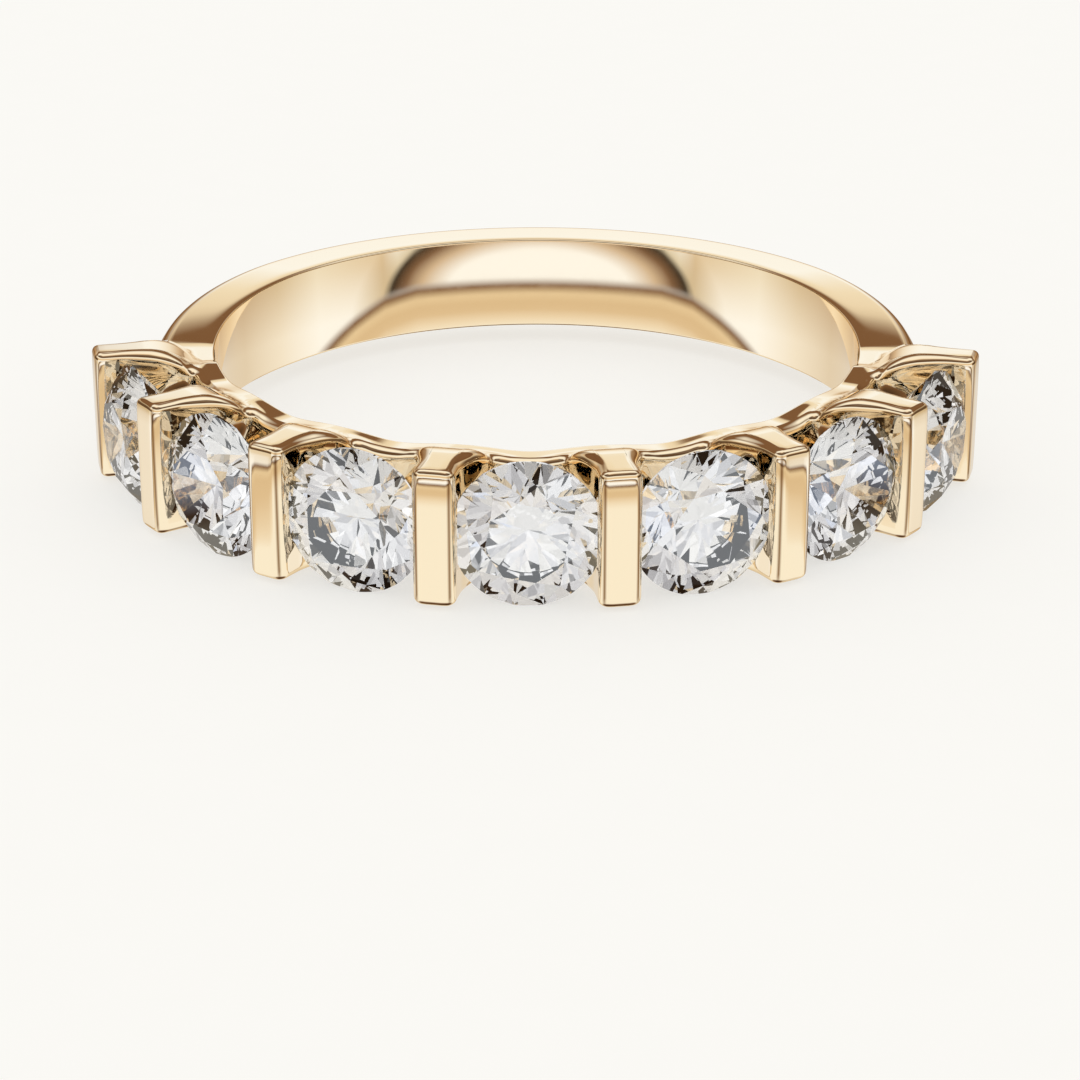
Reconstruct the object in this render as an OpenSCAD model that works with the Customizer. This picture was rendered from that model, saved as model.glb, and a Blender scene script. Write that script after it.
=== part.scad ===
// Bar set band: seven round brilliants held between eight upright bars.
// The bars, the rail that joins them and the plain shank are one piece of cast gold.
// The ring lies on its side: the finger axis stands upright and the middle stone faces -Y.
// The origin is the middle of the base of the box round the whole ring. Millimetres.

/* [Band] */
// Inside diameter of the finger hole
finger_d = 16.5; // [15:0.1:19]
// Height of the plain shank, along the finger
shank_h = 2.55; // [2.1:0.05:3]
// Thickness of the shank, from the finger hole outwards
shank_t = 1.75; // [1.3:0.05:2.1]
// Radius of the low dome on the outside of the shank
dome_r = 2.2; // [1.8:0.1:4]
// Height of the rail behind the stones
rail_h = 2.4; // [2:0.05:3]
// Thickness of the rail
rail_t = 0.75; // [0.6:0.05:0.9]
// Rounding of the long edges of the shank and the rail
edge_r = 0.3; // [0.1:0.05:0.3]
// Depth of the shallow dip in the rail's edges behind each stone
dip_depth = 0.1; // [0.05:0.01:0.2]
// Width of that dip, along the row of stones
dip_w = 1.5; // [1:0.1:1.8]
// Rounding of the dip's two ends
dip_r = 0.3; // [0.2:0.05:0.5]

/* [Stones] */
// Diameter of each stone
stone_d = 3.5; // [3.1:0.05:3.9]
// Width of the table as a share of the stone's diameter
table_share = 0.56; // [0.5:0.01:0.64]
// Angle of the kite facets of the crown
crown_angle = 34.5; // [30:0.5:37]
// Angle of the main facets of the pavilion
pavilion_angle = 40.8; // [38:0.2:42]
// Thickness of the girdle at its thick places
girdle_t = 0.11; // [0.1:0.01:0.16]
// How far the tables lie below the outer faces of the bars
table_drop = 0.05; // [0:0.05:0.3]
// How deep a girdle runs into the wall of a bar
groove = 0.2; // [0.1:0.02:0.3]
// Clearance between a stone and the metal of its seat
seat_gap = 0.04; // [0.02:0.01:0.06]

/* [Bars] */
// Width of each bar, along the row of stones
bar_w = 1; // [0.8:0.05:1.3]
// Height of each bar, along the finger
bar_h = 3.3; // [3:0.05:3.8]
// Reach of the bars, from the finger hole to their outer faces
bar_reach = 3.1; // [2.8:0.05:3.5]
// Length of the level top of a bar, inwards from its outer face
bar_flat = 1.35; // [0.8:0.05:1.5]
// Radius of the arch from a bar's level top down to the rail
arch_r = 1.5; // [1:0.05:1.5]
// Rounding of the edges of a bar
bar_edge_r = 0.15; // [0.05:0.01:0.25]

/* [Hidden] */
NODES = ["band", "stone_1", "stone_2", "stone_3", "stone_4", "stone_5", "stone_6", "stone_7"];
$fn = 96;

gold = [0.93, 0.76, 0.46];
diamond = [0.88, 0.9, 0.93];

stone_count = len(NODES) - 1;
finger_r = finger_d / 2;
stone_r = stone_d / 2;
bar_face_r = finger_r + bar_reach;
arch_start_r = bar_face_r - bar_flat;
bar_arch_r = min(arch_r, bar_h / 2);

// Each stone's own axis runs from its culet, outwards through its table.
table_r = stone_r * table_share;
crown_h = (stone_r - table_r) * tan(crown_angle);
pavilion_h = stone_r * tan(pavilion_angle);
girdle_at = bar_face_r - table_drop - crown_h - girdle_t / 2;

// The pitch brings the walls of two neighbouring bars to the groove depth at the girdle.
half_gap = stone_r - groove;
half_pitch = atan(half_gap / girdle_at) + asin(bar_w / 2 / norm([half_gap, girdle_at]));
pitch = 2 * half_pitch;
end_bar_angle = pitch * stone_count / 2;

// Middle height and the place of the finger axis, from the box round the ring.
mid_z = max(stone_d, bar_h, shank_h, rail_h) / 2;
corner_reach = (bar_face_r - bar_edge_r) * cos(half_pitch) + (bar_w / 2 - bar_edge_r) * sin(half_pitch) + bar_edge_r;
front_reach = max(bar_face_r - table_drop, corner_reach);
axis_y = (front_reach - finger_r - shank_t) / 2;

// Overrun of a cutting shape past the metal that it cuts, and of a dip's past the rail's outer wall.
overrun = 1;
dip_overrun = 0.1;
// Facets of a brilliant: eight round the stone, and the step between a main and its half.
facet_count = 8;
facet_step = 360 / facet_count;
half_step = facet_step / 2;
// Shares of a brilliant: how far the stars reach to the girdle, and how long the lower halves are.
star_share = 0.5;
lower_share = 0.77;
// The facets are cut a hair wide, and run on past their corners, before the girdle is turned round.
facet_overcut = 0.005;
corner_r = stone_r + facet_overcut;
girdle_over = stone_r * (1 / cos(half_step / 2) - 1);

// Places its children on the ring at an angle round from the middle stone.
module at_angle(angle) {
    translate([0, axis_y, mid_z])
        rotate([0, 0, angle])
            children();
}

// A rectangle standing from x = x0 to x = x1, with four round corners.
module rounded_slab(x0, x1, height, corner_r) {
    translate([x0 + corner_r, -height / 2])
        square([x1 - x0 - 2 * corner_r, height]);
    translate([x0, -height / 2 + corner_r])
        square([x1 - x0, height - 2 * corner_r]);
    for (x = [x0 + corner_r, x1 - corner_r], side = [-1, 1])
        translate([x, side * (height / 2 - corner_r)])
            circle(r = corner_r);
}

// Cross-section of the shank: flat inside for the finger, low dome outside, round edges.
module shank_section() {
    dome_x = finger_r + shank_t - dome_r;
    corner_y = shank_h / 2 - edge_r;
    dome_angle = asin(corner_y / (dome_r - edge_r));
    corner_x = dome_x + (dome_r - edge_r) * cos(dome_angle);
    past_x = dome_x + dome_r + overrun;
    past_y = (past_x - dome_x) * tan(dome_angle);
    translate([finger_r + edge_r, -shank_h / 2])
        square([corner_x - finger_r - edge_r, shank_h]);
    translate([finger_r, -corner_y])
        square([corner_x - finger_r, 2 * corner_y]);
    for (x = [finger_r + edge_r, corner_x], side = [-1, 1])
        translate([x, side * corner_y])
            circle(r = edge_r);
    intersection() {
        translate([dome_x, 0])
            circle(r = dome_r);
        polygon([[corner_x, -corner_y], [past_x, -past_y], [past_x, past_y], [corner_x, corner_y]]);
    }
}

// The plain back of the ring, from one end bar round to the other.
module shank() {
    at_angle(end_bar_angle - 90)
        rotate_extrude(angle = 360 - 2 * end_bar_angle)
            shank_section();
}

// The narrow hoop behind the stones, from one end bar to the other.
module rail() {
    at_angle(-end_bar_angle - 90)
        rotate_extrude(angle = 2 * end_bar_angle)
            rounded_slab(finger_r, finger_r + rail_t, rail_h, edge_r);
}

// Cutter of the shallow dips behind one stone, in both edges of the rail.
module dips() {
    cut_h = 2 * (dip_r + dip_depth);
    for (side = [-1, 1])
        translate([0, 0, side * (rail_h / 2 - dip_depth + cut_h / 2)])
            rotate([90, 0, 0])
                translate([0, 0, finger_r - overrun])
                    linear_extrude(height = overrun + rail_t + dip_overrun)
                        rounded_slab(-dip_w / 2, dip_w / 2, cut_h, dip_r);
}

// Side outline of a bar: level top and bottom near the face, arched down to the rail.
module bar_side() {
    arch_z = bar_h / 2 - bar_arch_r;
    rounded_slab(arch_start_r - bar_edge_r, bar_face_r, bar_h, bar_edge_r);
    translate([arch_start_r - bar_arch_r, -arch_z])
        square([bar_arch_r, 2 * arch_z]);
    for (side = [-1, 1])
        translate([arch_start_r, side * arch_z])
            circle(r = bar_arch_r);
}

// One upright bar, with round edges down its face and along its top.
module bar() {
    inner_r = arch_start_r - bar_arch_r;
    intersection() {
        rotate([90, 0, -90])
            linear_extrude(height = bar_w, center = true)
                bar_side();
        rotate([0, 0, -90])
            linear_extrude(height = bar_h + overrun, center = true)
                rounded_slab(inner_r - bar_edge_r, bar_face_r, bar_w, bar_edge_r);
        rotate([90, 0, 0])
            linear_extrude(height = bar_face_r + overrun)
                rounded_slab(-bar_w / 2, bar_w / 2, bar_h, bar_edge_r);
    }
}

// The room that a stone needs in the metal: its own outline, grown by the seat's clearance.
module seat() {
    grown_r = stone_r + seat_gap;
    crown_z = girdle_t / 2 + seat_gap * (1 - sin(crown_angle)) / cos(crown_angle);
    pavilion_z = girdle_t / 2 + seat_gap * (1 - sin(pavilion_angle)) / cos(pavilion_angle);
    rotate_extrude()
        polygon([
            [0, -pavilion_z - grown_r * tan(pavilion_angle)],
            [grown_r, -pavilion_z],
            [grown_r, crown_z],
            [grown_r - crown_h / tan(crown_angle), crown_z + crown_h],
            [0, crown_z + crown_h],
        ]);
}

// Places its children at the angle of stone number k.
module at_stone(k) {
    at_angle((k - (stone_count + 1) / 2) * pitch)
        children();
}

// Lays its children along the axis of stone number k, from the middle of its girdle.
module on_stone_axis(k) {
    at_stone(k)
        translate([0, -girdle_at, 0])
            rotate([90, 0, 0])
                children();
}

// All the gold, cast in one piece: shank, rail and bars, less the dips and the stones' seats.
module band() {
    color(gold)
        difference() {
            union() {
                shank();
                rail();
                for (k = [0:stone_count])
                    at_angle(k * pitch - end_bar_angle)
                        bar();
            }
            for (k = [1:stone_count]) {
                at_stone(k)
                    dips();
                on_stone_axis(k)
                    seat();
            }
        }
}

// A point at a radius, an angle round the stone and a height along its axis.
function polar(radius, angle, z) = [radius * cos(angle), radius * sin(angle), z];

// Rise per radius of the plane through three points, along the plain direction at angle zero.
function fall_at(a, b, c) = let (n = cross(b - a, c - a)) n[0] / n[2];

// One half of a brilliant's facets above or below the girdle, as points.
// Rows: 0 inner ring, 1 half corners, 2 girdle corners, 3 girdle corners run on, 4 half corners run on.
function cut_points(inner_r, half_r, angle, side) =
    let (
        rise = tan(angle),
        edge_z = girdle_t / 2,
        inner_z = edge_z + (corner_r - inner_r) * rise,
        half_z = edge_z + (corner_r - half_r * cos(half_step)) * rise,
        over_r = corner_r + girdle_over,
        fall = fall_at(
            polar(half_r, half_step, half_z),
            polar(corner_r, 0, edge_z),
            polar(corner_r, half_step, edge_z)
        ),
        half_fall = (half_z - edge_z) / (corner_r - half_r)
    )
    [
        for (i = [0:facet_count - 1]) polar(inner_r, i * facet_step, side * inner_z),
        for (i = [0:facet_count - 1]) polar(half_r, i * facet_step + half_step, side * half_z),
        for (i = [0:facet_count - 1]) polar(corner_r, i * facet_step, side * edge_z),
        for (i = [0:facet_count - 1]) polar(over_r, i * facet_step, side * (edge_z - girdle_over * fall)),
        for (i = [0:facet_count - 1])
            polar(over_r, i * facet_step + half_step, side * (edge_z - girdle_over * half_fall)),
    ];

// A round brilliant: table, stars, kites and upper halves over a round girdle,
// lower halves and mains under it, meeting in a point.
module brilliant() {
    table_edge_r = table_r * cos(half_step);
    star_r = table_edge_r + star_share * (stone_r - table_edge_r);
    low_r = stone_r * (1 - lower_share);
    n = facet_count;
    top = cut_points(table_r, star_r, crown_angle, 1);
    low = cut_points(0, low_r, pavilion_angle, -1);
    culet = 2 * 5 * n;
    faces = [
        [for (i = [n - 1:-1:0]) i],
        for (i = [0:n - 1]) [i, (i + 1) % n, n + i],
        for (i = [0:n - 1]) [i, n + i, 2 * n + i, n + (i + n - 1) % n],
        for (i = [0:n - 1]) [n + i, 4 * n + i, 3 * n + i, 2 * n + i],
        for (i = [0:n - 1]) [n + i, 2 * n + (i + 1) % n, 3 * n + (i + 1) % n, 4 * n + i],
        for (i = [0:n - 1]) [3 * n + i, 4 * n + i, 9 * n + i, 8 * n + i],
        for (i = [0:n - 1]) [4 * n + i, 3 * n + (i + 1) % n, 8 * n + (i + 1) % n, 9 * n + i],
        for (i = [0:n - 1]) [6 * n + i, 7 * n + i, 8 * n + i, 9 * n + i],
        for (i = [0:n - 1]) [6 * n + i, 9 * n + i, 8 * n + (i + 1) % n, 7 * n + (i + 1) % n],
        for (i = [0:n - 1]) [culet, 6 * n + (i + n - 1) % n, 7 * n + i, 6 * n + i],
    ];
    intersection() {
        polyhedron(points = concat(top, low, [low[0]]), faces = faces, convexity = 4);
        rotate([0, 0, half_step / 2])
            cylinder(r = stone_r, h = 2 * (crown_h + pavilion_h), center = true);
    }
}

module stone(k) {
    color(diamond)
        on_stone_axis(k)
            brilliant();
}

module stone_1() { stone(1); }
module stone_2() { stone(2); }
module stone_3() { stone(3); }
module stone_4() { stone(4); }
module stone_5() { stone(5); }
module stone_6() { stone(6); }
module stone_7() { stone(7); }

band();
stone_1();
stone_2();
stone_3();
stone_4();
stone_5();
stone_6();
stone_7();
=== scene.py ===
from math import radians

import bpy
import numpy as np
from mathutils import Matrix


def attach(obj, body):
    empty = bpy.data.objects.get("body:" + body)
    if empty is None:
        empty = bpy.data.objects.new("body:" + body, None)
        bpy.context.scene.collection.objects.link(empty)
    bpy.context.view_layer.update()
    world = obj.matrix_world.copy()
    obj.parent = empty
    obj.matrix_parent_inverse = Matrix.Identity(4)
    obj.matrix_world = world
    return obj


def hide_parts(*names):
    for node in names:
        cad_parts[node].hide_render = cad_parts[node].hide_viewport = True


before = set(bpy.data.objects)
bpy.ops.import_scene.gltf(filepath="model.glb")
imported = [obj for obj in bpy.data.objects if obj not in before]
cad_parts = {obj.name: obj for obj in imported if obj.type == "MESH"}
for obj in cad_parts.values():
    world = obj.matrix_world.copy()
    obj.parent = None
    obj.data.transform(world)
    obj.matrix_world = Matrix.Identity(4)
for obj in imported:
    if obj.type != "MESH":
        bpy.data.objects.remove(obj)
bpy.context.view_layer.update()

# The gold: shank, rail and eight bars, cast in one piece of 14k yellow gold, filed smooth and polished.
# The bars rise out of the rail with a small hollow in each corner, and their tops arch down into it.
# A groove in the walls of the two bars beside each stone holds its girdle.
mm = 0.001
axis_y = 0.65  # millimetres, as all lengths here: from the frame's origin back to the finger axis
mid_z = 1.75  # from the floor to the ring's middle height
finger_r = 8.25
rail_r = 9.0
shank_r = 10.0
bar_face_r = 11.35
bar_count = 8
half_pitch = radians(10.877)  # half the angle from one bar to the next
stones_each_side = (bar_count - 2) // 2  # of the middle stone
bar_half_w = 0.5
bar_half_h = 1.65
bar_level_r = 10.0  # a bar's top is level down to this radius, and arches down inside it
bar_arch_r = 1.5
rail_half_h = 1.2
shank_half_h = 1.275
shank_dome_r = 2.2

inner_round = 0.06
comfort_r = 50.0  # the finger wall is a very flat arc of this radius, nearest to the finger at mid height
bar_round = 0.16
arch_round = 0.1  # added to bar_round along the sides of the arch
arch_round_reach = (11.1, 9.8)
corner_round = 0.22
rail_round = 0.25
shank_round = 0.3
root_flare = 0.22

dip_depth = 0.1  # the rail's top sinks behind each stone
dip_reach = (1.45, 0.0)
shank_crown = 0.004  # the shank's top is this much lower at crown_w outside the rail, and soon much more
crown_w = 0.6
shank_taper = 0.2  # the shank's top slopes down by this much towards the outer bars
taper_from = radians(128)
taper_over = radians(34)
arch_side_drop = 0.1  # the arch is this much lower at its sides
arch_side_reach = (0.22, 0.62)
arch_reach = (1.3, 0.75)  # across a bar, from where its arch is no longer felt to where it is whole
soft_join = 0.16

pillow = 0.015  # how far a bar's face has sunk at this height
pillow_half_h = 1.5
pillow_reach = (10.9, 11.2)
top_flare = 0.36  # how far the foot of a bar's arch spreads along the rail
flare_height = (0.2, 1.1)
flare_depth = (10.7, 9.0)
flare_start = (8.5, 8.9)
flare_reach = (1.6, 0.6)
flare_r = 9.3

stone_r = 1.75
crown_angle = radians(34.5)
pavilion_angle = radians(40.8)
girdle_at = 10.716  # from the finger axis to the plane of a girdle
seat_r = 1.77
seat_half_h = 0.07

# How many columns and rows of the grid go to each stretch of the outline and of the section.
face_columns, corner_columns, hollow_columns, rail_columns, shank_columns = 4, 7, 8, 8, 152
wall_columns, end_wall_columns = 34, 24
finger_rows, inner_rows, top_rows, edge_rows, wall_rows = 4, 5, 17, 5, 14

# Where the columns of a bar's side meet the edge of the finger hole: a radius, and distances from the
# bar's middle.
inner_edge_r = 8.55
face_in = 0.2  # as a share of the distance at the face
corner_in = (0.07, 0.11)
wall_in = (0.12, 0.45)
hollow_in = 0.46


def smooth_step(t):
    """3t^2 - 2t^3, held at 0 below t = 0 and at 1 above t = 1."""
    t = np.clip(t, 0.0, 1.0)
    return t * t * (3.0 - 2.0 * t)


def rise(value, start, end):
    """0 where value is at start, 1 where it is at end, and the smooth step between."""
    return smooth_step((value - start) / (end - start))


def side_outline(root_r, n_wall):
    """Right half of a bar's plan outline in the bar's own frame, s across it and r along it.

    It runs from the middle of the face round the corner, a quarter circle, down the straight wall and through
    the hollow, an arc that touches the wall and the circle of radius root_r.
    Columns: s, r, outward normal (s, r), s at the inner edge, share of hollow.
    """
    face_s = np.linspace(0.0, bar_half_w - corner_round, face_columns)[:-1]
    zero = 0 * face_s
    face = np.stack([face_s, zero + bar_face_r, zero, zero + 1, face_s * face_in, zero], 1)
    turn = np.linspace(np.pi / 2, 0.0, corner_columns)
    corner = np.stack([
        bar_half_w - corner_round + corner_round * np.cos(turn),
        bar_face_r - corner_round + corner_round * np.sin(turn),
        np.cos(turn), np.sin(turn), np.linspace(*corner_in, corner_columns), 0 * turn], 1)
    hollow_s = bar_half_w + root_flare
    hollow_r = np.sqrt((root_r + root_flare) ** 2 - hollow_s ** 2)
    wall_r = np.linspace(bar_face_r - corner_round, hollow_r, n_wall + 2)[1:-1]
    zero = 0 * wall_r
    wall = np.stack([zero + bar_half_w, wall_r, zero + 1, zero, np.linspace(*wall_in, n_wall), zero], 1)
    last = np.arctan2(hollow_r, hollow_s)
    turn = np.linspace(0.0, last, hollow_columns)
    hollow = np.stack([
        hollow_s - root_flare * np.cos(turn), hollow_r - root_flare * np.sin(turn),
        np.cos(turn), np.sin(turn),
        np.linspace(hollow_in, inner_edge_r * np.sin(np.pi / 2 - last), hollow_columns),
        smooth_step(np.linspace(0, 1, hollow_columns))], 1)
    return np.concatenate([face, corner, wall, hollow])


def band_outline():
    """The plan outline of the whole band, one row per point, anticlockwise seen from above.

    The side outline is turned to each bar's place and mirrored for its left half, and arcs of the rail and of
    the shank join the bars. Columns: x, y, outward normal x, y, angle at the inner edge, angle of the bar
    that the point belongs to, share of bar (1 on a bar, 0 on rail and shank), share of shank.
    """
    outline = []
    for k in range(bar_count):
        axis = (2 * k - (bar_count - 1)) * half_pitch
        for side in (-1, 1):
            faces_shank = (k == 0 and side < 0) or (k == bar_count - 1 and side > 0)
            root_r, n_wall = (shank_r, end_wall_columns) if faces_shank else (rail_r, wall_columns)
            s, r, ns, nr, s_in, hollow = side_outline(root_r, n_wall).T
            angle_in = np.arcsin(s_in / inner_edge_r)
            bar_share = 1 - hollow
            shank_share = smooth_step(hollow) if faces_shank else 0 * s
            if not faces_shank:
                start = np.arctan2(s[-1], r[-1])
                turn = start + (half_pitch - start) * np.linspace(0, 1, rail_columns)[1:]
                s = np.append(s, rail_r * np.sin(turn))
                r = np.append(r, rail_r * np.cos(turn))
                ns = np.append(ns, np.sin(turn))
                nr = np.append(nr, np.cos(turn))
                angle_in = np.append(angle_in, turn)
                bar_share = np.append(bar_share, 0 * turn)
                shank_share = np.append(shank_share, 0 * turn)
            s, ns, angle_in = side * s, side * ns, side * angle_in
            half = np.stack([
                r * np.sin(axis) + s * np.cos(axis), -r * np.cos(axis) + s * np.sin(axis),
                nr * np.sin(axis) + ns * np.cos(axis), -nr * np.cos(axis) + ns * np.sin(axis),
                axis + angle_in, 0 * s + axis, bar_share, shank_share], 1)
            if side < 0:
                half = half[::-1][:-1]
            elif not faces_shank:
                half = half[:-1]
            outline.append(half)
    first, last = outline[0][0], outline[-1][-1]
    start = np.arctan2(last[0], -last[1])
    end = np.arctan2(first[0], -first[1]) + 2 * np.pi
    turn = np.linspace(start, end, shank_columns)[1:-1]
    zero = 0 * turn
    outline.append(np.stack([
        shank_r * np.sin(turn), -shank_r * np.cos(turn), np.sin(turn), -np.cos(turn),
        turn, np.where(turn < np.pi, last[5], first[5]), zero, zero + 1], 1))
    return np.concatenate(outline)


def top_height(x, y, axis, bar_share, side_share):
    """Height of the gold's top over a point: the rail or the shank, and over it the arch of the bar.

    The arch is a quarter circle along the bar, lower at its sides. Where the two meet, the higher one is
    raised by the square of (soft_join - their difference) over four times soft_join, which is a soft hollow.
    """
    radius = np.hypot(x, y)
    along = x * np.sin(axis) - y * np.cos(axis)
    angle = np.arctan2(x, -y)
    nearest = np.clip(np.round(angle / (2 * half_pitch)), -stones_each_side, stones_each_side)
    to_stone = angle - half_pitch * 2 * nearest
    dip = dip_depth * rise(np.abs(radius * np.sin(to_stone)), *dip_reach)
    crown = shank_crown * ((radius - rail_r) / crown_w) ** 6
    taper = shank_taper * np.clip((taper_from - np.abs(angle)) / taper_over, 0.0, 1.2) ** 1.5
    base = (rail_half_h - dip) * (1 - side_share) + (shank_half_h - crown - taper) * side_share
    across = np.abs(x * np.cos(axis) + y * np.sin(axis))
    drop = np.clip(bar_level_r - along, 0.0, bar_arch_r * 0.999)
    arch = bar_half_h - bar_arch_r + np.sqrt(bar_arch_r ** 2 - drop ** 2)
    arch = arch - arch_side_drop * rise(across, *arch_side_reach)
    overlap = np.clip(soft_join - np.abs(base - arch), 0.0, None)
    joined = np.maximum(base, arch) + overlap ** 2 / (4 * soft_join)
    return base + rise(across, *arch_reach) * (joined - base)


def band_surface():
    """Points of the gold on a grid: along the plan outline, and round its section from the finger hole out.

    Each section runs up the finger wall, round its edge, over the top, round the outer edge and down the
    wall, which is upright on the bars and the rail and an arc of radius shank_dome_r on the shank.
    The lower half is the upper one mirrored.
    """
    x, y, nx, ny, angle_in, axis, bar_share, shank_share = band_outline().T
    last_axis = (bar_count - 1) * half_pitch
    on_end = np.abs(np.abs(axis) - last_axis) < 1e-6
    outward = np.sign(axis) * (angle_in - axis) * inner_edge_r
    past_end = np.abs(angle_in) > last_axis + hollow_in / inner_edge_r
    side_share = np.where(past_end, 1.0, rise(outward, -hollow_in, hollow_in) * on_end)
    turn_end = np.arcsin((shank_half_h - shank_round) / (shank_dome_r - shank_round))
    dome_in = shank_dome_r - (shank_dome_r - shank_round) * np.cos(turn_end)
    along = x * np.sin(axis) - y * np.cos(axis)
    plain_round = rail_round * (1 - shank_share) + shank_round * shank_share
    edge = bar_round * bar_share + (1 - bar_share) * plain_round
    edge = edge + arch_round * rise(along, *arch_round_reach) * bar_share
    inset = edge * (1 - shank_share) + dome_in * shank_share
    turn_start = turn_end * shank_share

    rows_x, rows_y, rows_z = [], [], []

    def add_row(row_x, row_y, row_z):
        rows_x.append(row_x)
        rows_y.append(row_y)
        rows_z.append(row_z)

    sin_in, cos_in = np.sin(angle_in), -np.cos(angle_in)
    side_turn = np.arcsin((shank_half_h - inner_round) / (comfort_r - inner_round))
    start_r = finger_r + comfort_r - (comfort_r - inner_round) * np.cos(side_turn)
    start_x, start_y = start_r * sin_in, start_r * cos_in
    start_z = top_height(start_x, start_y, axis, bar_share, side_share)
    stretch = (start_z - inner_round) / (shank_half_h - inner_round)
    for turn in np.linspace(0, side_turn, finger_rows + 1)[:-1]:
        r = finger_r + comfort_r * (1 - np.cos(turn))
        add_row(r * sin_in, r * cos_in, comfort_r * np.sin(turn) * stretch)
    for turn in np.linspace(side_turn, np.pi / 2, inner_rows + 1)[:-1]:
        r = start_r - inner_round * np.cos(turn)
        add_row(r * sin_in, r * cos_in, start_z - inner_round + inner_round * np.sin(turn))
    end_x, end_y = x - nx * inset, y - ny * inset
    for t in np.linspace(0, 1, top_rows):
        row_x, row_y = start_x + (end_x - start_x) * t, start_y + (end_y - start_y) * t
        add_row(row_x, row_y, top_height(row_x, row_y, axis, bar_share, side_share))
    end_z = rows_z[-1]
    for t in np.linspace(0, 1, edge_rows + 1)[1:]:
        turn = np.pi / 2 + (turn_start - np.pi / 2) * t
        depth = inset - edge * np.cos(turn)
        add_row(x - nx * depth, y - ny * depth, end_z - edge + edge * np.sin(turn))
    wall_z = rows_z[-1]
    wall_depth = inset - edge * np.cos(turn_start)
    full = shank_dome_r - np.sqrt(shank_dome_r ** 2 - wall_z ** 2)
    for t in np.linspace(1, 0, wall_rows + 1)[1:]:
        z = wall_z * t
        depth = wall_depth * (shank_dome_r - np.sqrt(shank_dome_r ** 2 - z ** 2)) / full
        add_row(x - nx * depth, y - ny * depth, z)
    top = shape_bars(np.stack([np.stack(rows, 1) for rows in (rows_x, rows_y, rows_z)], 2), axis, bar_share)
    bottom = top[:, -2:0:-1] * np.array([1.0, 1.0, -1.0])
    return np.concatenate([top, bottom], 1)


def shape_bars(points, axis, bar_share):
    """Pillows the bars' faces and spreads the feet of their arches.

    A face sinks by the fifth power of the height and the fourth power of the distance across, and a foot
    swings round the finger axis, away from the bar's middle line.
    """
    x, y, z = points[..., 0], points[..., 1], points[..., 2]
    sin_bar, cos_bar = np.sin(axis)[:, None], np.cos(axis)[:, None]
    across = x * cos_bar + y * sin_bar
    aside = np.abs(across)
    along = x * sin_bar - y * cos_bar
    on_face = bar_share[:, None] * rise(along, *pillow_reach)
    high, wide = np.clip(z / pillow_half_h, 0, 1), np.clip(aside / bar_half_w, 0, 1)
    sink = pillow * (high ** 5 + 0.5 * wide ** 4) * on_face
    x, y = x - sink * sin_bar, y + sink * cos_bar
    flare = top_flare * rise(z, *flare_height) * rise(along, *flare_depth)
    flare = flare * rise(aside, 0.0, bar_half_w) * rise(aside, *flare_reach)
    swing = flare * np.sign(across) * rise(along, *flare_start) / flare_r
    return np.stack([x * np.cos(swing) - y * np.sin(swing), x * np.sin(swing) + y * np.cos(swing), z], 2)


def cut_grooves(points):
    """Moves what lies inside a stone's seat straight out to the seat's wall, for each stone in turn.

    The seat is two cones on a short cylinder of radius seat_r, with the angles of the crown and the pavilion.
    """
    for k in range(-stones_each_side, stones_each_side + 1):
        turn = 2 * k * half_pitch
        across = points[..., 0] * np.cos(turn) + points[..., 1] * np.sin(turn)
        along = points[..., 0] * np.sin(turn) - points[..., 1] * np.cos(turn) - girdle_at
        radius = np.minimum(
            seat_r - np.clip(along - seat_half_h, 0, None) / np.tan(crown_angle),
            seat_r - np.clip(-along - seat_half_h, 0, None) / np.tan(pavilion_angle))
        reach = np.sqrt(np.clip(np.clip(radius, 0, None) ** 2 - points[..., 2] ** 2, 0, None))
        push = np.where(np.abs(across) < reach, np.sign(across) * reach - across, 0.0)
        points[..., 0] += push * np.cos(turn)
        points[..., 1] += push * np.sin(turn)
    return points


def to_frame(points):
    """Millimetres from the finger axis and the middle height, to metres in the frame."""
    return (points + np.array([0.0, axis_y, mid_z])) * mm


def closed_grid(points, name, uncut):
    """A mesh over a grid of points that is closed both ways.

    Each vertex normal is the sum of the area vectors of its faces, each times the root of its length, in the
    grid before its grooves are cut, so that a wall shines evenly up to the edge of a groove.
    """
    n_u, n_v = points.shape[:2]
    u, v = np.meshgrid(np.arange(n_u), np.arange(n_v), indexing="ij")
    u1, v1 = (u + 1) % n_u, (v + 1) % n_v
    quads = np.stack([u * n_v + v, u1 * n_v + v, u1 * n_v + v1, u * n_v + v1], 2).reshape(-1, 4)
    flat, before = points.reshape(-1, 3), uncut.reshape(-1, 3)
    a, b, c, d = (before[quads[:, i]] for i in range(4))
    area = np.cross(c - a, d - b)
    if np.sum(area * (a + b + c + d)) < 0:
        quads = quads[:, ::-1]
        area = -area
    weight = area * np.linalg.norm(area, axis=1, keepdims=True) ** 0.5
    normals = np.zeros_like(flat)
    for i in range(4):
        np.add.at(normals, quads[:, i], weight)
    normals /= np.linalg.norm(normals, axis=1, keepdims=True)
    mesh = bpy.data.meshes.new(name)
    mesh.vertices.add(len(flat))
    mesh.vertices.foreach_set("co", flat.ravel())
    mesh.loops.add(quads.size)
    mesh.loops.foreach_set("vertex_index", quads.ravel().astype(np.int32))
    mesh.polygons.add(len(quads))
    mesh.polygons.foreach_set("loop_start", np.arange(0, quads.size, 4, dtype=np.int32))
    mesh.update(calc_edges=True)
    mesh.polygons.foreach_set("use_smooth", np.ones(len(quads), dtype=bool))
    mesh.normals_split_custom_set_from_vertices(normals)
    piece = bpy.data.objects.new(name, mesh)
    bpy.context.scene.collection.objects.link(piece)
    return piece


# Where the painted shade line on the bars' corners lies: the turn of the outline at its middle, and its reach
# to either side.
corner_at = 30.0  # degrees
corner_over = 15.0  # degrees


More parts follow.
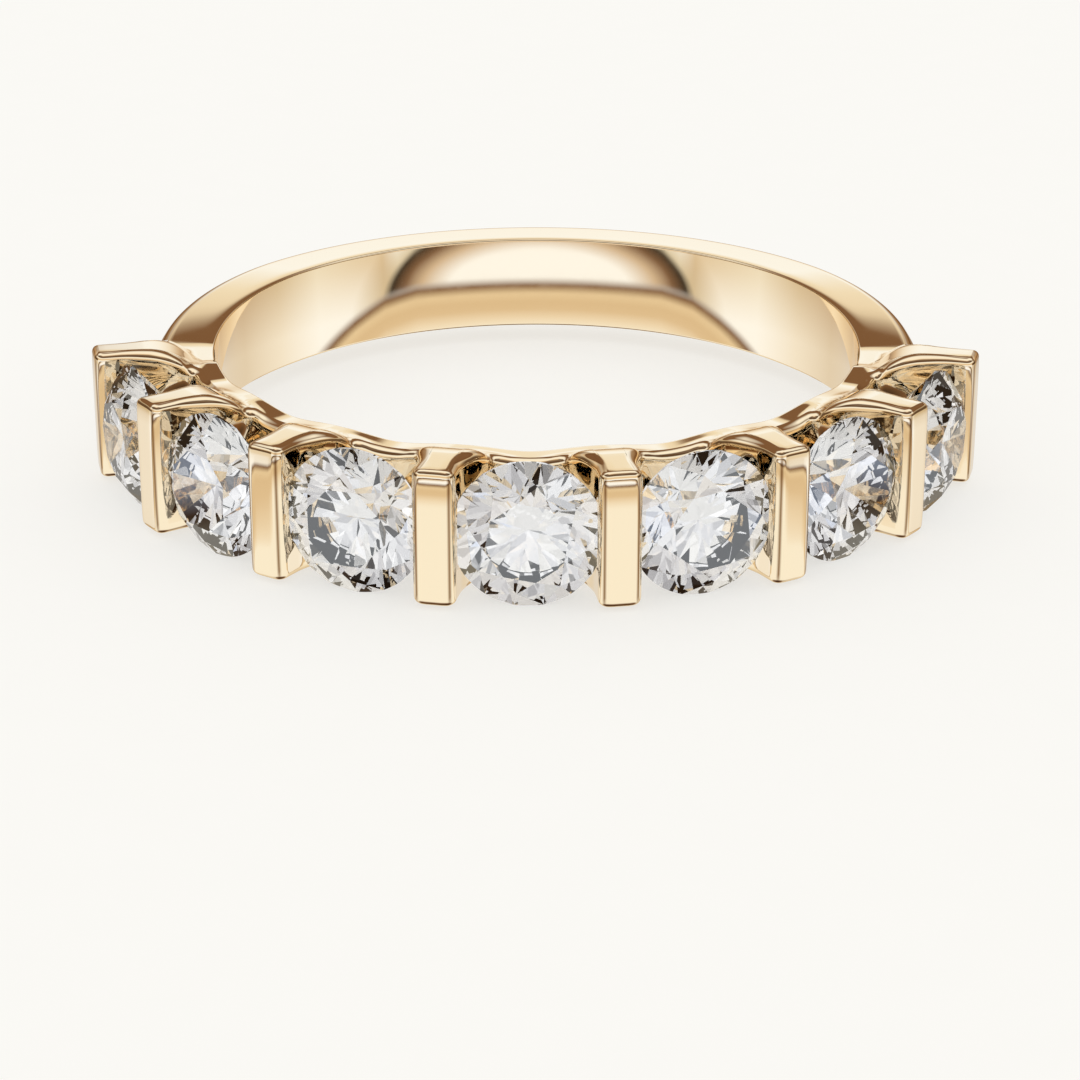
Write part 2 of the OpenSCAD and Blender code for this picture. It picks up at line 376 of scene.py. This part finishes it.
def painted_corner_shade_share():
    """On the grid, the share of painted shade: 1 along the upright corners of the bars' faces, where the
    outline has turned by corner_at.

    It falls off in a straight line to 0 at corner_over to either side, and over the rows of the upper and the
    lower edge.
    """
    nx, ny, _, axis, bar_share = band_outline().T[2:7]
    turned = np.degrees(np.arccos(np.clip(nx * np.sin(axis) - ny * np.cos(axis), -1, 1)))
    first_edge_row = finger_rows + inner_rows + top_rows
    n_rows = 2 * (first_edge_row + edge_rows + wall_rows) - 2
    rows = np.arange(n_rows)
    upright = np.clip((np.minimum(rows, n_rows - rows) - first_edge_row - 1) / (edge_rows - 1), 0, 1)
    return (np.clip(1 - np.abs(turned - corner_at) / corner_over, 0, 1) * bar_share)[:, None] * upright


uncut_band = band_surface()
gold_band = closed_grid(to_frame(cut_grooves(uncut_band.copy())), "gold_band", to_frame(uncut_band))
# Painted shade: a point attribute that turns the gold brown along the bars' upright corners, in place of a
# dark reflection.
painted_corner_shade = gold_band.data.attributes.new("painted_corner_shade", "FLOAT", "POINT")
painted_corner_shade.data.foreach_set("value", painted_corner_shade_share().ravel())


def linear(hex_colour):
    """Linear light values of an sRGB colour such as '#f0c878', with alpha 1."""
    value = np.array([int(hex_colour[i:i + 2], 16) for i in (1, 3, 5)]) / 255
    return tuple(np.where(value <= 0.04045, value / 12.92, ((value + 0.055) / 1.055) ** 2.4)) + (1.0,)


def add_node(tree, kind, inputs=None, stops=None, **settings):
    """Adds one node. settings are its own properties and stops the places and colours of its ramp.

    inputs are its sockets by name or number, each with a value or with the socket that it is linked from.
    """
    node = tree.nodes.new(kind)
    for name, value in settings.items():
        setattr(node, name, value)
    for name, value in (inputs or {}).items():
        if isinstance(value, bpy.types.NodeSocket):
            tree.links.new(value, node.inputs[name])
        else:
            node.inputs[name].default_value = value
    if stops:
        elements = node.color_ramp.elements
        while len(elements) < len(stops):
            elements.new(0.5)
        for element, (position, colour) in zip(elements, stops):
            element.position = position
            element.color = (*colour[:3], 1.0)
    return node


# 14k yellow gold, cast, filed and buffed to a mirror: a warm pale yellow that takes its darks from the room.
# Buffing leaves hair-fine marks some hundredths of a millimetre apart, drawn 0.35 mm apart so that they show
# as a slightly uneven sheen. Along the upright corners of the bars' faces a thin brown line is painted shade
# in the gold's colour, in place of the dark edge that the light of a studio reflects there.
mark_w = 0.35
polished_gold = bpy.data.materials.new("polished_14k_yellow_gold")
polished_gold.use_nodes = True
tree = polished_gold.node_tree
tree.nodes.clear()
place = add_node(tree, "ShaderNodeTexCoord")
marks = add_node(tree, "ShaderNodeTexNoise", {
    "Vector": place.outputs["Object"], "Scale": 1 / (mark_w * mm), "Detail": 3.0})
sheen = add_node(tree, "ShaderNodeMapRange", {"Value": marks.outputs["Fac"], "To Min": 0.02, "To Max": 0.045})
# Painted shade: the gold's colour is mixed towards brown by the share along the bars' upright corners.
corners = add_node(tree, "ShaderNodeAttribute", attribute_name="painted_corner_shade")
gold_with_painted_shade = add_node(tree, "ShaderNodeMix", {
    "Factor": corners.outputs["Fac"], 6: linear("#FDE8C4"), 7: linear("#8A6238")}, data_type="RGBA")
shader = add_node(tree, "ShaderNodeBsdfPrincipled", {
    "Base Color": gold_with_painted_shade.outputs[2], "Metallic": 1.0, "Roughness": sheen.outputs["Result"]})
add_node(tree, "ShaderNodeOutputMaterial", {"Surface": shader.outputs["BSDF"]})
gold_band.data.materials.append(polished_gold)
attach(gold_band, "root")
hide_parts("band")

# The stones: seven round brilliants of clear diamond, cut in 57 facets and polished.
# Each is set with its girdle in the grooves of two bars, and each is turned by its own amount.
stone_count = 2 * stones_each_side + 1
table_r = 0.56 * stone_r
girdle_half_h = 0.055
star_r = 0.5 * (stone_r + table_r * np.cos(np.pi / 8))  # half way from the table's edge to the girdle
lower_r = 0.23 * stone_r  # where the lower girdle facets end, near the tip
arc_steps = 6  # straight steps on the girdle for each of its sixteen arcs


def brilliant_corners():
    """Corners and facets of a round brilliant, table up, girdle plane at 0, in millimetres.

    A main facet through the girdle at angle a has height girdle_half_h + tan(slope) (R - r cos(angle - a)).
    The two facets beside it fill the wedge to the next main, and the cylinder of radius R cuts all of them.
    """
    eighth = np.pi / 4

    def ring(r, offset, z):
        """Eight corners at radius r and height z."""
        a = np.arange(8) * eighth + offset
        return np.stack([r * np.cos(a), r * np.sin(a), 0 * a + z], 1)

    crown, pavilion = np.tan(crown_angle), np.tan(pavilion_angle)
    table = ring(table_r, 0.0, girdle_half_h + crown * (stone_r - table_r))
    star = ring(star_r, eighth / 2, girdle_half_h + crown * (stone_r - star_r * np.cos(eighth / 2)))
    lower = ring(lower_r, eighth / 2, -girdle_half_h - pavilion * (stone_r - lower_r * np.cos(eighth / 2)))
    tip = np.array([[0.0, 0.0, -girdle_half_h - pavilion * stone_r]])
    n_rim = 16 * arc_steps
    a = np.arange(n_rim) * eighth / (2 * arc_steps)
    rim = np.stack([stone_r * np.cos(a), stone_r * np.sin(a)], 1)

    def rim_height(corner, z):
        """Height on the cylinder of the plane through a corner and the two main points of the girdle at z."""
        heights = np.zeros(n_rim)
        for j in range(16):
            ends = [(j + i) * eighth / 2 for i in (0, 1)]
            plane = np.array([corner[j // 2], *[(stone_r * np.cos(e), stone_r * np.sin(e), z) for e in ends]])
            normal = np.cross(plane[1] - plane[0], plane[2] - plane[0])
            arc = slice(j * arc_steps, (j + 1) * arc_steps)
            heights[arc] = z - ((rim[arc] - plane[1, :2]) @ normal[:2]) / normal[2]
        return heights

    upper_rim = np.column_stack([rim, rim_height(star, girdle_half_h)])
    lower_rim = np.column_stack([rim, rim_height(lower, -girdle_half_h)])
    corners = np.concatenate([table, star, lower, tip, upper_rim, lower_rim])
    i_star, i_lower, i_tip, i_upper_rim = 8, 16, 24, 25
    i_lower_rim = i_upper_rim + n_rim
    facets = [list(range(8))]
    for i in range(8):
        following, before = (i + 1) % 8, (i - 1) % 8
        point = 2 * i * arc_steps
        facets.append([i, i_star + i, following])
        facets.append([i, i_star + before, i_upper_rim + point, i_star + i])
        facets.append([i_tip, i_lower + i, i_lower_rim + point, i_lower + before])
        for half in (0, 1):
            arc = [(point + half * arc_steps + m) % n_rim for m in range(arc_steps + 1)]
            facets.append([i_star + i] + [i_upper_rim + m for m in arc])
            facets.append([i_lower + i] + [i_lower_rim + m for m in arc[::-1]])
    on_rim = np.arange(n_rim)
    after = (on_rim + 1) % n_rim
    girdle = np.stack([
        i_upper_rim + on_rim, i_lower_rim + on_rim, i_lower_rim + after, i_upper_rim + after], 1)
    return corners, facets + girdle.tolist()


# Diamond, cut and polished: clear and colourless, so dense that it throws the light back in sharp flashes.
# Faint growth clouds, drawn 0.8 mm wide so that they show, take a little evenness from it.
cloud_w = 0.8
clear_diamond = bpy.data.materials.new("clear_cut_diamond")
clear_diamond.use_nodes = True
tree = clear_diamond.node_tree
tree.nodes.clear()
place = add_node(tree, "ShaderNodeTexCoord")
clouds = add_node(tree, "ShaderNodeTexNoise", {
    "Vector": place.outputs["Object"], "Scale": 1 / (cloud_w * mm), "Detail": 2.0})
tint = add_node(tree, "ShaderNodeMix", {
    "Factor": clouds.outputs["Fac"], 6: linear("#FFFFFF"), 7: linear("#FBFBFC")}, data_type="RGBA")
shader = add_node(tree, "ShaderNodeBsdfPrincipled", {
    "Base Color": tint.outputs[2], "Roughness": 0.0, "IOR": 2.417, "Transmission Weight": 1.0})
add_node(tree, "ShaderNodeOutputMaterial", {"Surface": shader.outputs["BSDF"]})

corners, facets = brilliant_corners()
for k in range(stone_count):
    turn = 2 * (k - stones_each_side) * half_pitch
    spin = radians(17) * k + radians(8) * k * k
    a, b, out = corners.T
    u, v = a * np.cos(spin) + b * np.sin(spin), b * np.cos(spin) - a * np.sin(spin)
    out = out + girdle_at
    points = np.stack([u * np.cos(turn) + out * np.sin(turn), u * np.sin(turn) - out * np.cos(turn), v], 1)
    mesh = bpy.data.meshes.new(f"brilliant_{k + 1}")
    mesh.from_pydata(to_frame(points).tolist(), [], facets)
    mesh.validate()
    mesh.materials.append(clear_diamond)
    brilliant = bpy.data.objects.new(f"brilliant_{k + 1}", mesh)
    bpy.context.scene.collection.objects.link(brilliant)
    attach(brilliant, "root")
    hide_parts(f"stone_{k + 1}")

# The floor: a plain sheet of warm white paper, matt and wide enough to fill the view.
# It glows, as a light table does, so that only a soft shadow shows under the ring.
paper_half = 0.6
fibre_w = 1.5
paper = bpy.data.meshes.new("floor")
paper.from_pydata([(i * paper_half, j * paper_half, 0) for i, j in ((-1, -1), (1, -1), (1, 1), (-1, 1))],
                  [], [(0, 1, 2, 3)])
floor = bpy.data.objects.new("floor", paper)
bpy.context.scene.collection.objects.link(floor)

# Uncoated paper, pressed smooth: matt and warm white. Its fibres make faint clouds 1.5 mm wide.
white_paper = bpy.data.materials.new("uncoated_white_paper")
white_paper.use_nodes = True
tree = white_paper.node_tree
tree.nodes.clear()
place = add_node(tree, "ShaderNodeTexCoord")
fibres = add_node(tree, "ShaderNodeTexNoise", {
    "Vector": place.outputs["Object"], "Scale": 1 / (fibre_w * mm), "Detail": 4.0})
glow = add_node(tree, "ShaderNodeMapRange", {
    "Value": fibres.outputs["Fac"], "To Min": 0.695, "To Max": 0.705})
shader = add_node(tree, "ShaderNodeBsdfPrincipled", {
    "Base Color": linear("#959493"), "Roughness": 0.9, "Specular IOR Level": 0.0,
    "Emission Color": linear("#FAF9F5"), "Emission Strength": glow.outputs["Result"]})
add_node(tree, "ShaderNodeOutputMaterial", {"Surface": shader.outputs["BSDF"]})
paper.materials.append(white_paper)
floor.visible_glossy = False

# The light: one square soft box straight above the ring, and the studio's room as the world.
# The gold mirrors a room of white walls with tan cards and dark flags, and the stones flash from many small
# white panels. Everything else sees plain warm white.
soft_box_w = 0.30
soft_box_z = 0.30
soft_box_watts = 0.02
overhead_light = bpy.data.lights.new("overhead", "AREA")
overhead_light.size = soft_box_w
overhead_light.energy = soft_box_watts
overhead = bpy.data.objects.new("overhead", overhead_light)
overhead.location = (0.0, 0.0, soft_box_z)
bpy.context.scene.collection.objects.link(overhead)

studio = bpy.data.worlds.new("studio")
bpy.context.scene.world = studio
studio.use_nodes = True
tree = studio.node_tree
tree.nodes.clear()

# Colours of the light, in linear values, because a lamp may be brighter than white paper.
plain, none = (1.0, 1.0, 1.0), (0.0, 0.0, 0.0)
white, bright, pale = (0.98, 1.02, 1.06), (1.03, 1.15, 1.4), (0.9, 0.9, 0.9)
tan, dark, black = (0.66, 0.5, 0.34), (0.21, 0.115, 0.06), (0.045, 0.03, 0.018)
flag = (0.12, 0.07, 0.04)


def at(degrees):
    """Place of an elevation on a ramp that runs from straight down to straight up."""
    return 0.5 + degrees / 180


# Where a reflection looks: height is its elevation on such a ramp, and turn how far it is from the front
# towards the back, as a share of half a circle and alike on both sides.
direction = add_node(tree, "ShaderNodeTexCoord").outputs["Generated"]
split = add_node(tree, "ShaderNodeSeparateXYZ", {"Vector": direction})
slope = add_node(tree, "ShaderNodeMath", {0: split.outputs["Z"]}, operation="ARCSINE")
height = add_node(tree, "ShaderNodeMath", {0: slope.outputs[0], 1: 1 / np.pi, 2: 0.5},
                  operation="MULTIPLY_ADD").outputs[0]
aside = add_node(tree, "ShaderNodeMath", {0: split.outputs["X"]}, operation="ABSOLUTE")
ahead = add_node(tree, "ShaderNodeMath", {0: split.outputs["Y"], 1: -1.0}, operation="MULTIPLY")
azimuth = add_node(tree, "ShaderNodeMath", {0: aside.outputs[0], 1: ahead.outputs[0]}, operation="ARCTAN2")
turn = add_node(tree, "ShaderNodeMath", {0: azimuth.outputs[0], 1: np.pi}, operation="DIVIDE").outputs[0]

# The low edge of the room, a dark line that draws the long line on the finger wall, with what lies under it
# and just over it. Its elevation changes from the front to the back.
edge_line = (
    (0, -17.6), (47, -17.6), (60, -18.1), (73, -19.3), (97, -21.8), (103, -25), (120, -29), (180, -38))
edge = add_node(tree, "ShaderNodeValToRGB", {"Fac": turn}, [(a / 180, (at(e),) * 3) for a, e in edge_line])
over_edge = add_node(tree, "ShaderNodeMath", {0: height, 1: edge.outputs["Color"]},
                     operation="SUBTRACT").outputs[0]
above = add_node(tree, "ShaderNodeMath", {0: over_edge, 1: 0.5}, operation="ADD").outputs[0]
low = add_node(tree, "ShaderNodeValToRGB", {"Fac": above}, [
    (at(-60), (0.06, 0.035, 0.02)), (at(-40), dark), (at(-26), white), (at(-3.3), white),
    (at(-2.5), (0.82, 0.71, 0.55)), (at(-1.7), (0.69, 0.56, 0.4)), (at(-0.9), (0.82, 0.71, 0.54)),
    (at(-0.3), (0.84, 0.75, 0.59)), (at(-0.06), dark), (at(0.06), dark), (at(0.2), (0.8, 0.68, 0.5)),
    (at(0.6), bright)])
far = add_node(tree, "ShaderNodeValToRGB", {"Fac": turn}, [
    (0.5, plain), (0.62, (0.9, 0.83, 0.72)), (0.76, (0.76, 0.65, 0.5))])
low_room = add_node(tree, "ShaderNodeMix", {0: 1.0, 6: low.outputs["Color"], 7: far.outputs["Color"]},
                    data_type="RGBA", blend_type="MULTIPLY")

# The walls and the ceiling, in front and at the back.
front = add_node(tree, "ShaderNodeValToRGB", {"Fac": height}, [
    (at(-4), bright), (at(4), (0.92, 0.85, 0.72)), (at(14), (0.75, 0.6, 0.43)), (at(20), (0.8, 0.66, 0.5)),
    (at(32), white), (at(40), white), (at(46), flag), (at(74), flag), (at(82), tan), (at(88), pale)])
back = add_node(tree, "ShaderNodeValToRGB", {"Fac": height}, [
    (at(-3), dark), (at(3), tan), (at(9), (0.9, 0.86, 0.78)), (at(14), white), (at(18), (1.0, 1.1, 1.25)),
    (at(21), (0.9, 0.86, 0.75)), (at(23), (0.85, 0.78, 0.65)), (at(24.5), dark), (at(42), dark),
    (at(54), white), (at(88), pale)])
is_back = add_node(tree, "ShaderNodeValToRGB", {"Fac": turn}, [(0.5, none), (0.62, plain)])
high_room = add_node(tree, "ShaderNodeMix", {
    0: is_back.outputs["Color"], 6: front.outputs["Color"], 7: back.outputs["Color"]}, data_type="RGBA")
is_high = add_node(tree, "ShaderNodeValToRGB", {"Fac": height}, [(at(-5), none), (at(-2.5), plain)])
room = add_node(tree, "ShaderNodeMix", {
    0: is_high.outputs["Color"], 6: low_room.outputs[2], 7: high_room.outputs[2]},
    data_type="RGBA").outputs[2]

# A lens of white light with a dark rim in the middle of the finger wall: rings round straight ahead, by the
# root of turn squared plus rise squared.
lens_flatness = 11.0
lens_rise = add_node(tree, "ShaderNodeMath", {0: over_edge, 1: lens_flatness},
                     operation="MULTIPLY").outputs[0]
rise_square = add_node(tree, "ShaderNodeMath", {0: lens_rise, 1: lens_rise}, operation="MULTIPLY")
square = add_node(tree, "ShaderNodeMath", {0: turn, 1: turn, 2: rise_square.outputs[0]},
                  operation="MULTIPLY_ADD")
lens = add_node(tree, "ShaderNodeMath", {0: square.outputs[0]}, operation="SQRT")
lens_rings = add_node(tree, "ShaderNodeValToRGB", {"Fac": lens.outputs[0]}, [
    (0.0, plain), (0.19, plain), (0.25, tan), (0.29, dark), (0.32, black), (0.34, (0.75, 0.66, 0.5)),
    (0.42, plain)])
lens_range = add_node(tree, "ShaderNodeValToRGB", {"Fac": above}, [(at(0.05), none), (at(0.3), plain)])

# Tan cards at the sides, which give the ends of the shank their brown.
side_cards = add_node(tree, "ShaderNodeValToRGB", {"Fac": turn}, [
    (0.3, plain), (0.335, (0.76, 0.62, 0.44)), (0.5, (0.85, 0.76, 0.6)), (0.62, (0.7, 0.58, 0.4)), (0.8, tan),
    (0.87, (0.34, 0.22, 0.13)), (0.925, (0.4, 0.27, 0.17)), (0.955, plain)])
card_range = add_node(tree, "ShaderNodeValToRGB", {"Fac": height}, [
    (at(-19), none), (at(-15), plain), (at(14), plain), (at(32), none)])
for share, colour in ((lens_range, lens_rings), (card_range, side_cards)):
    room = add_node(tree, "ShaderNodeMix", {0: share.outputs["Color"], 6: room, 7: colour.outputs["Color"]},
                    data_type="RGBA", blend_type="MULTIPLY").outputs[2]

# A dark flag at each side, from the horizon to about 20 degrees up. The rounded edges of the gold mirror it as
# thin dark lines.
flag_turn = add_node(tree, "ShaderNodeValToRGB", {"Fac": turn}, [
    (0.3, none), (0.34, plain), (0.7, plain), (0.78, none)])
flag_height = add_node(tree, "ShaderNodeValToRGB", {"Fac": height}, [
    (at(-4), none), (at(-2), plain), (at(16), plain), (at(24), none)])
flag_share = add_node(tree, "ShaderNodeMath", {
    0: flag_turn.outputs["Color"], 1: flag_height.outputs["Color"]}, operation="MULTIPLY")
room = add_node(tree, "ShaderNodeMix", {0: flag_share.outputs[0], 6: room, 7: (0.13, 0.08, 0.045, 1.0)},
                data_type="RGBA").outputs[2]
for_gold = add_node(tree, "ShaderNodeBackground", {"Color": room, "Strength": 1.0})

# The panels that the stones see: cells in steps of grey, a few of them bluish, golden or extra bright.
cells = add_node(tree, "ShaderNodeTexVoronoi", {"Vector": direction, "Scale": 8.0})
draw = add_node(tree, "ShaderNodeSeparateColor", {"Color": cells.outputs["Color"]})
panels = add_node(tree, "ShaderNodeValToRGB", {"Fac": draw.outputs["Red"]}, [
    (0.0, (0.02, 0.02, 0.02)), (0.08, (0.42, 0.42, 0.42)), (0.18, (0.66, 0.66, 0.67)),
    (0.36, (0.87, 0.87, 0.88)), (0.58, plain), (0.93, (0.86, 0.92, 1.04)), (0.945, (1.1, 0.95, 0.68)),
    (0.96, (1.3, 1.3, 1.3))])
panels.color_ramp.interpolation = "CONSTANT"
for_stones = add_node(tree, "ShaderNodeBackground", {"Color": panels.outputs["Color"], "Strength": 1.0})
for_rest = add_node(tree, "ShaderNodeBackground", {"Color": linear("#FAF9F5"), "Strength": 1.0})

# Which of the three a ray sees: a reflection that has passed no stone sees the room, and what has passed or
# left a stone sees the panels.
path = add_node(tree, "ShaderNodeLightPath")
passed = add_node(tree, "ShaderNodeMath", {0: path.outputs["Transmission Depth"], 1: 1.0},
                  operation="MINIMUM")
not_passed = add_node(tree, "ShaderNodeMath", {0: 1.0, 1: passed.outputs[0]}, operation="SUBTRACT")
on_gold = add_node(tree, "ShaderNodeMath", {0: path.outputs["Is Glossy Ray"], 1: not_passed.outputs[0]},
                   operation="MULTIPLY")
in_stone = add_node(tree, "ShaderNodeMath", {
    0: path.outputs["Is Transmission Ray"], 1: path.outputs["Is Glossy Ray"]}, operation="MAXIMUM")
seen = for_rest
for share, light in ((in_stone, for_stones), (on_gold, for_gold)):
    seen = add_node(tree, "ShaderNodeMixShader", {
        0: share.outputs[0], 1: seen.outputs[0], 2: light.outputs[0]})
add_node(tree, "ShaderNodeOutputWorld", {"Surface": seen.outputs[0]})

# The camera: a long lens 79 mm from the ring's middle, which looks down at it by 22 degrees, from one degree
# to its right.
photo_w = 1080  # pixels
focal = 3062.0  # pixels
film_w = 36.0
camera_data = bpy.data.cameras.new("camera")
camera_data.sensor_fit = "HORIZONTAL"
camera_data.sensor_width = film_w
camera_data.lens = focal / photo_w * film_w
camera_data.clip_start = 0.001
camera_data.clip_end = 10.0
camera = bpy.data.objects.new("camera", camera_data)
camera.location = (1.421 * mm, -74.2936 * mm, 27.8015 * mm)
camera.rotation_euler = (radians(67.814), 0.0, radians(1.014))
bpy.context.scene.collection.objects.link(camera)
bpy.context.scene.camera = camera
bpy.context.scene.view_settings.view_transform = "Standard"
